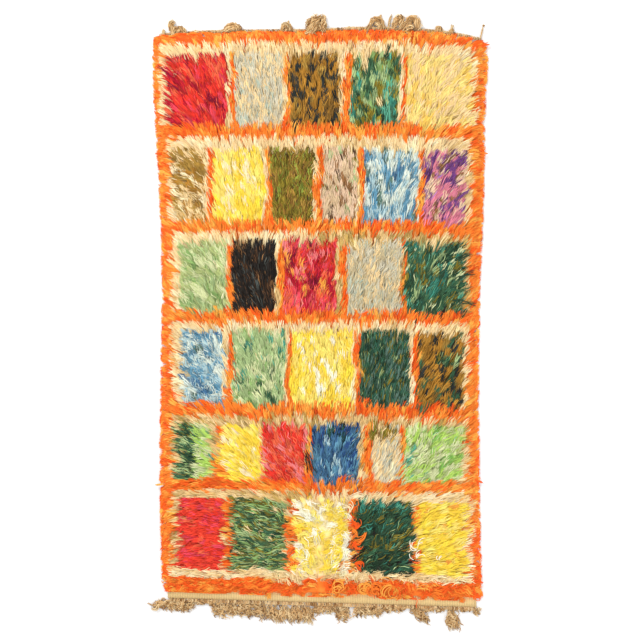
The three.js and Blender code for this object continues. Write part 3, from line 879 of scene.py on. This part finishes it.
def edge_knots(line, outward):
    """A row of small knots that binds the warp ends along an end of the weave."""
    x = np.arange(left_edge(line(0.0)) + 3, right_edge(line(0.0)) - 2, KNOT_PITCH)
    n = len(x)
    x = x + rng.normal(0, 0.8, n)
    turn = 2 * np.pi * YARN_STEPS[None, :] * rng.uniform(0.8, 1.1, (n, 1))
    paths = np.zeros((n, len(YARN_STEPS), 3))
    paths[..., 0] = x[:, None] + KNOT_WIDE * np.sin(turn) + rng.normal(0, 1, (n, 1)) * YARN_STEPS
    paths[..., 1] = line(x)[:, None] + outward * (KNOT_DEEP + 0.5 - KNOT_DEEP * np.cos(turn))
    paths[..., 2] = WEAVE_THICKNESS + KNOT_HIGH * np.sin(turn * 0.5 + 0.3)
    return paths


def lower_fringe():
    """Short matted warp ends below the bare strip."""
    paths = [edge_knots(lambda x: lower_edge(x) - BARE_END, -1)]
    for start, stop, strands, reach, splay in LOWER_BUNCHES:
        n = strands * ENDS_IN_STRAND
        x = rng.uniform(start - 2, stop + 2, n)
        far = np.sqrt(rng.random(n))
        y = lower_edge(x) - BARE_END - ROOTS_OUT - ROOTS_SPREAD * reach * far
        x = x + ROOTS_SPREAD * splay * far
        length = np.hypot(reach, splay) * rng.uniform(0.45, 0.85, n) + along(EXTRA_LENGTH, reach)
        short = reach + abs(splay) < LONG_BUNCH
        crimp, fan = (SHORT_BUNCH_CRIMP, SHORT_BUNCH_FAN) if short else (LONG_BUNCH_CRIMP, LONG_BUNCH_FAN)
        heading = np.arctan2(-reach, splay) + np.radians(fan) * rng.normal(0, 1, n)
        paths.append(wavy_ends(x, y, heading, length, rng.uniform(2, 10, n), crimp))
    return np.concatenate(paths)


def skein(line, wide):
    """A matted bundle of warp ends that follows a bent line, a little twisted."""
    line = np.array(line, float)
    run = np.append(0, np.cumsum(np.hypot(*np.diff(line, axis=0).T)))
    fine = np.linspace(0, run[-1], SKEIN_SAMPLES)
    centre = np.stack([np.interp(fine, run, line[:, axis]) for axis in (0, 1)], axis=1)
    for _ in range(SKEIN_SMOOTHING):
        centre[1:-1] = (centre[:-2] + 2 * centre[1:-1] + centre[2:]) / 4
    onward = np.gradient(centre, axis=0)
    onward /= np.linalg.norm(onward, axis=1, keepdims=True)
    n = int(SKEIN_YARNS * wide) + 3
    start, stop = rng.uniform(0, 0.3, (n, 1)), rng.uniform(0.75, 1, (n, 1))
    share = start + (stop - start) * YARN_STEPS
    place = [np.interp(share * run[-1], fine, centre[:, axis]) for axis in (0, 1)]
    way = [np.interp(share * run[-1], fine, onward[:, axis]) for axis in (0, 1)]
    turn = rng.random((n, 1)) * 2 * np.pi + rng.uniform(*SKEIN_TWIST, (n, 1)) * share
    loose = wide * np.sqrt(rng.random((n, 1)))
    loose = loose + 0.5 * wide * np.sin(rng.uniform(*SKEIN_KINKS, (n, 1)) * share + turn)
    aside = loose * np.cos(turn)
    up = np.maximum(2.2 + 0.8 * wide + 0.8 * loose * np.sin(turn), FLOOR_GAP)
    return np.stack([place[0] - way[1] * aside, place[1] + way[0] * aside, up], axis=-1)


def upper_fringe():
    """Warp ends knotted and looped in separate bunches behind the upper edge, on a thin cord."""
    cord = edge_knots(lambda x: upper_edge(x) + CORD_REACH * along(UPPER_REACH, x), 1)
    return np.concatenate([cord] + [skein(line, wide) for wide, line in SKEINS])


def loose_ends():
    """Stray pile ends hanging over the bare strip, with their colours."""
    paths, light = [], []
    for place, yarn, n, reach in STRAYS:
        x = place + rng.normal(0, 1.2 * n ** 0.5, n)
        way = np.full(n, -np.pi / 2) + np.radians(STRAY_FAN) * rng.normal(0, 1, n)
        length = reach * rng.uniform(0.85, 1.15, n)
        ends = wavy_ends(x, lower_edge(x) + 5, way, length, np.full(n, 3.0), STRAY_CRIMP)
        ends[..., 2] = 6.5 + 9 * (1 - YARN_STEPS) ** 2 + rng.uniform(0, 1, (n, 1))
        paths.append(ends)
        light.append(np.tile(YARN_LIGHT[yarn], (n, 1)))
    return np.concatenate(paths), np.concatenate(light)


def pile_level(x, y):
    """The height of the pile's top."""
    return WEAVE_THICKNESS + PILE_TOP * rim_rise(x, y)[0]


def pile_ends():
    """Loose straight ends and small curls lying on the pile, with their colours."""
    paths, light = [], []
    for start, angle, reach, yarn, n in HAIRS:
        x, y = (c + rng.normal(0, 2.5, n) for c in start)
        way = np.radians(angle + HAIR_FAN * rng.normal(0, 1, n))
        ends = wavy_ends(x, y, way, reach * rng.uniform(0.8, 1.1, n), np.full(n, 3.0), HAIR_CRIMP)
        ends[..., 2] = pile_level(ends[..., 0], ends[..., 1]) + 3 * np.sin(np.pi * YARN_STEPS)
        paths.append(ends)
        light.append(np.tile(YARN_LIGHT[yarn], (n, 1)))
    for middle, yarn, n, size, turn in CURLS:
        turn = rng.choice([-1, 1]) * turn * rng.uniform(0.7, 1.3, (n, 1)) * YARN_STEPS ** 1.5
        way = rng.uniform(0, 2 * np.pi) + rng.normal(0, 0.5, (n, 1)) + turn
        step = size * rng.uniform(0.5, 0.8, (n, 1))
        x, y = np.cumsum(step * np.cos(way), axis=1), np.cumsum(step * np.sin(way), axis=1)
        x = x - x.mean() + middle[0] + rng.normal(0, 2, (n, 1))
        y = y - y.mean() + middle[1] + rng.normal(0, 2, (n, 1))
        z = pile_level(x, y) + 3 * np.sin(np.pi * YARN_STEPS) + rng.uniform(-1, 2, (n, 1))
        paths.append(np.stack([x, y, z], axis=-1))
        light.append(np.tile(YARN_LIGHT[yarn], (n, 1)))
    return np.concatenate(paths), np.concatenate(light)


def set_inputs(node, values):
    """Sets a shader node's inputs by name or number."""
    for name, value in values.items():
        node.inputs[name].default_value = value


def wool_material(name, roughness, sheen, fibre):
    """Wool yarn: its colour with fine fibre streaks, a soft gloss and a little fuzz."""
    material = bpy.data.materials.new(name)
    material.use_nodes = True
    nodes, links = material.node_tree.nodes, material.node_tree.links
    shader = nodes["Principled BSDF"]
    yarn = nodes.new("ShaderNodeAttribute")
    yarn.attribute_name = "yarn"
    place = nodes.new("ShaderNodeTexCoord")
    streak = nodes.new("ShaderNodeTexNoise")
    set_inputs(streak, {"Scale": fibre, "Detail": 3})
    links.new(place.outputs["Object"], streak.inputs["Vector"])
    tone = nodes.new("ShaderNodeMapRange")
    set_inputs(tone, {"To Min": 0.8, "To Max": 1.2})
    links.new(streak.outputs["Fac"], tone.inputs["Value"])
    blend = nodes.new("ShaderNodeVectorMath")
    blend.operation = "SCALE"
    links.new(yarn.outputs["Color"], blend.inputs[0])
    links.new(tone.outputs["Result"], blend.inputs["Scale"])
    links.new(blend.outputs["Vector"], shader.inputs["Base Color"])
    bump = nodes.new("ShaderNodeBump")
    set_inputs(bump, {"Strength": 0.25, "Distance": 0.0006})
    links.new(streak.outputs["Fac"], bump.inputs["Height"])
    links.new(bump.outputs["Normal"], shader.inputs["Normal"])
    set_inputs(shader, {"Roughness": roughness, "Specular IOR Level": 0.18})
    set_inputs(shader, {"Sheen Weight": sheen, "Sheen Roughness": 0.45})
    return material


def weave_material(name, warp, weft):
    """Plain weave: warp ribs along the rug and finer weft lines across it, at their pitches in metres."""
    material = wool_material(name, 0.85, 0.1, 500)
    nodes, links = material.node_tree.nodes, material.node_tree.links
    place = nodes["Texture Coordinate"]
    ribs = []
    for axis, pitch in (("X", warp), ("Y", weft)):
        rib = nodes.new("ShaderNodeTexWave")
        rib.bands_direction = axis
        set_inputs(rib, {"Scale": WAVE_PERIOD / pitch, "Distortion": 1.2})
        links.new(place.outputs["Object"], rib.inputs["Vector"])
        ribs.append(rib)
    cloth = nodes.new("ShaderNodeMath")
    cloth.operation = "MULTIPLY_ADD"
    links.new(ribs[1].outputs["Fac"], cloth.inputs[0])
    set_inputs(cloth, {1: 0.4})
    links.new(ribs[0].outputs["Fac"], cloth.inputs[2])
    bump = nodes["Bump"]
    set_inputs(bump, {"Strength": 0.6, "Distance": 0.0012})
    links.new(cloth.outputs["Value"], bump.inputs["Height"])
    tone = nodes["Map Range"]
    set_inputs(tone, {"From Max": 1.4, "To Min": 0.72, "To Max": 1.1})
    links.new(cloth.outputs["Value"], tone.inputs["Value"])
    return material


def finish_piece(piece, material, slot, *nodes):
    """Gives a piece its material, and ties it to the frame."""
    piece.data.materials.append(material)
    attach(piece, "root")
    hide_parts(*nodes)
    return piece


# Pile
wool = wool_material("pile_wool", 0.65, 0.03, 700)
dressing = [finish_piece(pile_bed(), wool, "pile", "pile")]
paths, radii, light, mixes = lay_strands(lay_locks())
# Painted shade along each strand: roots darkened and tinted to the mix's mean colour, tips slightly lightened
own = along(OWN_COLOUR, STRAND_STEPS)[:, None]
shade = along(PAINTED_ROOT_SHADE, STRAND_STEPS)[:, None]
light = shade * (own * light[:, None] + (1 - own) * MIX_MEANS[mixes][:, None])
upper_half = paths[:, 0, 1] > 0
groups = {}
for name, members in FAMILIES.items():
    found = np.isin(mixes, [MIX_NAMES.index(m) for m in members])
    groups[name + "_upper"] = found & upper_half
    groups[name + "_lower"] = found & ~upper_half
for name, chosen in groups.items():
    roll = np.radians(STRAND_ROLL) * rng.normal(0, 1, (chosen.sum(), 1)) + np.array([np.pi, 0])
    piece = yarn_piece(name, paths[chosen], radii[chosen], light[chosen], roll, closed=False)
    dressing.append(finish_piece(piece, wool, "pile", "pile"))

# Fringes and stray ends
warp_wool = wool_material("warp_wool", 0.8, 0.08, 600)
for name, paths in (("fringe_upper_yarn", upper_fringe()), ("fringe_lower_yarn", lower_fringe())):
    n = len(paths)
    light = pick_yarns(np.full(n, MIX_NAMES.index("warp"))) * (1 + FRINGE_TONE * rng.normal(0, 1, (n, 1)))
    # Painted shade by height: low yarns of the fringes darker, high ones lighter
    light = light * along(FRINGE_HEIGHT_SHADE, paths[..., 2].mean(axis=1))[:, None]
    radii = YARN_RADIUS * rng.uniform(*FRINGE_WIDTHS, (n, 1)) * YARN_TAPER
    light = np.repeat(light[:, None], len(YARN_STEPS), axis=1)
    piece = yarn_piece(name, paths, radii, light, corners(n, 3))
    dressing.append(finish_piece(piece, warp_wool, "fringe", name.removesuffix("_yarn")))
paths, light = (np.concatenate(both) for both in zip(loose_ends(), pile_ends()))
light = np.repeat(light[:, None], len(YARN_STEPS), axis=1)
radii = LOOSE_RADIUS * np.tile(YARN_TAPER, (len(paths), 1))
piece = yarn_piece("stray_ends", paths, radii, light, corners(len(paths), 4))
dressing.append(finish_piece(piece, wool, "pile", "pile"))

# Ground weave
cloth = finish_piece(ground_weave(), weave_material("plain_weave", 0.0052, 0.0024), "weave", "ground_weave")

# Floor, light and camera
floor_mesh = bpy.data.meshes.new("floor")
floor_mesh.from_pydata([(-8, -8, 0), (8, -8, 0), (8, 8, 0), (-8, 8, 0)], [], [(0, 1, 2, 3)])
floor = bpy.data.objects.new("floor", floor_mesh)
floor.location.z = -0.0005
bpy.context.collection.objects.link(floor)
pale = bpy.data.materials.new("pale_floor")
pale.use_nodes = True
set_inputs(pale.node_tree.nodes["Principled BSDF"], {"Base Color": (0.9, 0.9, 0.9, 1), "Roughness": 0.9})
floor_mesh.materials.append(pale)

world = bpy.data.worlds.new("studio")
world.use_nodes = True
set_inputs(world.node_tree.nodes["Background"], {"Color": (1, 1, 1, 1), "Strength": 0.92})
bpy.context.scene.world = world


def softbox(name, place, size, power):
    """A round soft light aimed at the middle of the rug."""
    lamp = bpy.data.lights.new(name, "AREA")
    lamp.shape = "DISK"
    lamp.size = size
    lamp.energy = power
    box = bpy.data.objects.new(name, lamp)
    box.location = place
    aim = -np.array(place) / np.linalg.norm(place)
    box.rotation_euler = (np.arccos(-aim[2]), 0, np.arctan2(aim[1], aim[0]) - np.pi / 2)
    bpy.context.collection.objects.link(box)


softbox("key", (-2.2, 2.6, 3.6), 2.0, 120)
softbox("fill", (2.8, -1.6, 3.2), 2.4, 40)

IMAGE_PIXELS = 640
MM_PER_PIXEL = 3.05
CAMERA_HEIGHT = 4.6
SEEN_LEVEL = 0.02
SENSOR_WIDTH = 36
camera_data = bpy.data.cameras.new("camera")
camera_data.sensor_width = SENSOR_WIDTH
camera_data.lens = SENSOR_WIDTH * (CAMERA_HEIGHT - SEEN_LEVEL) / (IMAGE_PIXELS * MM_PER_PIXEL * MM)
camera = bpy.data.objects.new("camera", camera_data)
camera.location = (0, 0, CAMERA_HEIGHT)
bpy.context.collection.objects.link(camera)
bpy.context.scene.camera = camera
bpy.context.scene.view_settings.view_transform = "Standard"
